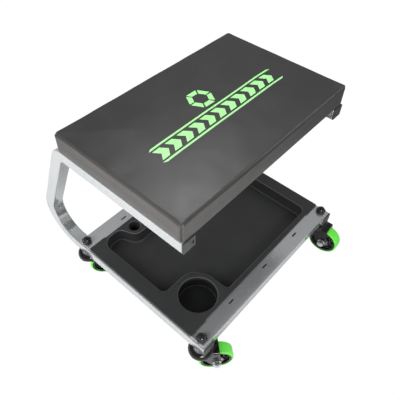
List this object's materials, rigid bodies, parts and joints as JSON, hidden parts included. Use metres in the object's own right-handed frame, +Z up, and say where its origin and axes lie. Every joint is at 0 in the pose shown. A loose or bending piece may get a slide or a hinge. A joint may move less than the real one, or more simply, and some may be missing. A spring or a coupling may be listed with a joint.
{
  "type": "rolling mechanic seat",
  "caption": "Rolling mechanic's seat: padded rectangular seat on bent square-tube side frames, with a moulded tool tray, cup holder and swivel casters.",
  "frame": {"origin": "on the floor, at the centre of the whole object's footprint box at rest", "axes": "+X to the seat's right, +Y to the rear (the closed side of the C-shaped frames), +Z up"},
  "size_m": [0.422, 0.45, 0.392],
  "materials": {
    "vinyl_black": "soft black upholstery vinyl with a fine grain and a low sheen",
    "foam": "open-cell upholstery foam, matt",
    "board_black": "black-stained plywood, matt",
    "silver_paint": "light silver-grey gloss powder coat",
    "zinc": "bright zinc plate",
    "steel": "plain machined steel",
    "black_gloss_metal": "gloss black paint on pressed steel",
    "black_nut": "black plated, semi-gloss",
    "tray_plastic": "moulded black plastic, satin with a fine texture",
    "plug_plastic": "moulded black plastic, satin",
    "hub_plastic": "glossy black nylon",
    "green_tread": "bright green cast polyurethane, semi-gloss"
  },
  "bodies": {
    "base": {"seat_cover": "vinyl_black", "seat_foam": "foam", "seat_board": "board_black", "seat_staples": "zinc", "seat_tee_nuts": "zinc", "seat_bolts": "zinc", "seat_washers": "zinc", "left_side_frame": "silver_paint", "right_side_frame": "silver_paint", "left_upper_plug": "plug_plastic", "right_upper_plug": "plug_plastic", "left_lower_plug": "plug_plastic", "right_lower_plug": "plug_plastic", "front_crossbar": "silver_paint", "rear_crossbar": "silver_paint", "tool_tray": "tray_plastic", "acorn_nuts": "black_nut", "kingpin_nuts": "zinc", "front_left_stem": "zinc", "front_left_ball_race": "steel", "front_right_stem": "zinc", "front_right_ball_race": "steel", "rear_left_stem": "zinc", "rear_left_ball_race": "steel", "rear_right_stem": "zinc", "rear_right_ball_race": "steel"},
    "front_left_swivel": {"front_left_fork": "black_gloss_metal", "front_left_balls": "steel", "front_left_axle_bolt": "zinc", "front_left_axle_nut": "zinc", "front_left_axle_sleeve": "steel"},
    "front_left_wheel": {"front_left_wheel_hub": "hub_plastic", "front_left_tread": "green_tread", "front_left_bearings": "steel"},
    "front_right_swivel": {"front_right_fork": "black_gloss_metal", "front_right_balls": "steel", "front_right_axle_bolt": "zinc", "front_right_axle_nut": "zinc", "front_right_axle_sleeve": "steel"},
    "front_right_wheel": {"front_right_wheel_hub": "hub_plastic", "front_right_tread": "green_tread", "front_right_bearings": "steel"},
    "rear_left_swivel": {"rear_left_fork": "black_gloss_metal", "rear_left_balls": "steel", "rear_left_axle_bolt": "zinc", "rear_left_axle_nut": "zinc", "rear_left_axle_sleeve": "steel"},
    "rear_left_wheel": {"rear_left_wheel_hub": "hub_plastic", "rear_left_tread": "green_tread", "rear_left_bearings": "steel"},
    "rear_right_swivel": {"rear_right_fork": "black_gloss_metal", "rear_right_balls": "steel", "rear_right_axle_bolt": "zinc", "rear_right_axle_nut": "zinc", "rear_right_axle_sleeve": "steel"},
    "rear_right_wheel": {"rear_right_wheel_hub": "hub_plastic", "rear_right_tread": "green_tread", "rear_right_bearings": "steel"}
  },
  "joints": [
    {"name": "front_left_swivel_turn", "type": "hinge", "parent": "base", "child": "front_left_swivel", "pos_m": [-0.188, -0.1663, 0.072], "axis": [0, 0, 1], "continuous": true},
    {"name": "front_left_wheel_spin", "type": "hinge", "parent": "front_left_swivel", "child": "front_left_wheel", "pos_m": [-0.168, -0.18369, 0.03175], "axis": [0.6561, 0.7547, 0], "continuous": true},
    {"name": "front_right_swivel_turn", "type": "hinge", "parent": "base", "child": "front_right_swivel", "pos_m": [0.188, -0.1663, 0.072], "axis": [0, 0, 1], "continuous": true},
    {"name": "front_right_wheel_spin", "type": "hinge", "parent": "front_right_swivel", "child": "front_right_wheel", "pos_m": [0.19031, -0.1927, 0.03175], "axis": [0.9962, 0.0872, 0], "continuous": true},
    {"name": "rear_left_swivel_turn", "type": "hinge", "parent": "base", "child": "rear_left_swivel", "pos_m": [-0.188, 0.1305, 0.072], "axis": [0, 0, 1], "continuous": true},
    {"name": "rear_left_wheel_spin", "type": "hinge", "parent": "rear_left_swivel", "child": "rear_left_wheel", "pos_m": [-0.16553, 0.11645, 0.03175], "axis": [0.5299, 0.848, 0], "continuous": true},
    {"name": "rear_right_swivel_turn", "type": "hinge", "parent": "base", "child": "rear_right_swivel", "pos_m": [0.188, 0.1305, 0.072], "axis": [0, 0, 1], "continuous": true},
    {"name": "rear_right_wheel_spin", "type": "hinge", "parent": "rear_right_swivel", "child": "rear_right_wheel", "pos_m": [0.18114, 0.1049, 0.03175], "axis": [0.9659, -0.2588, 0], "continuous": true}
  ]
}
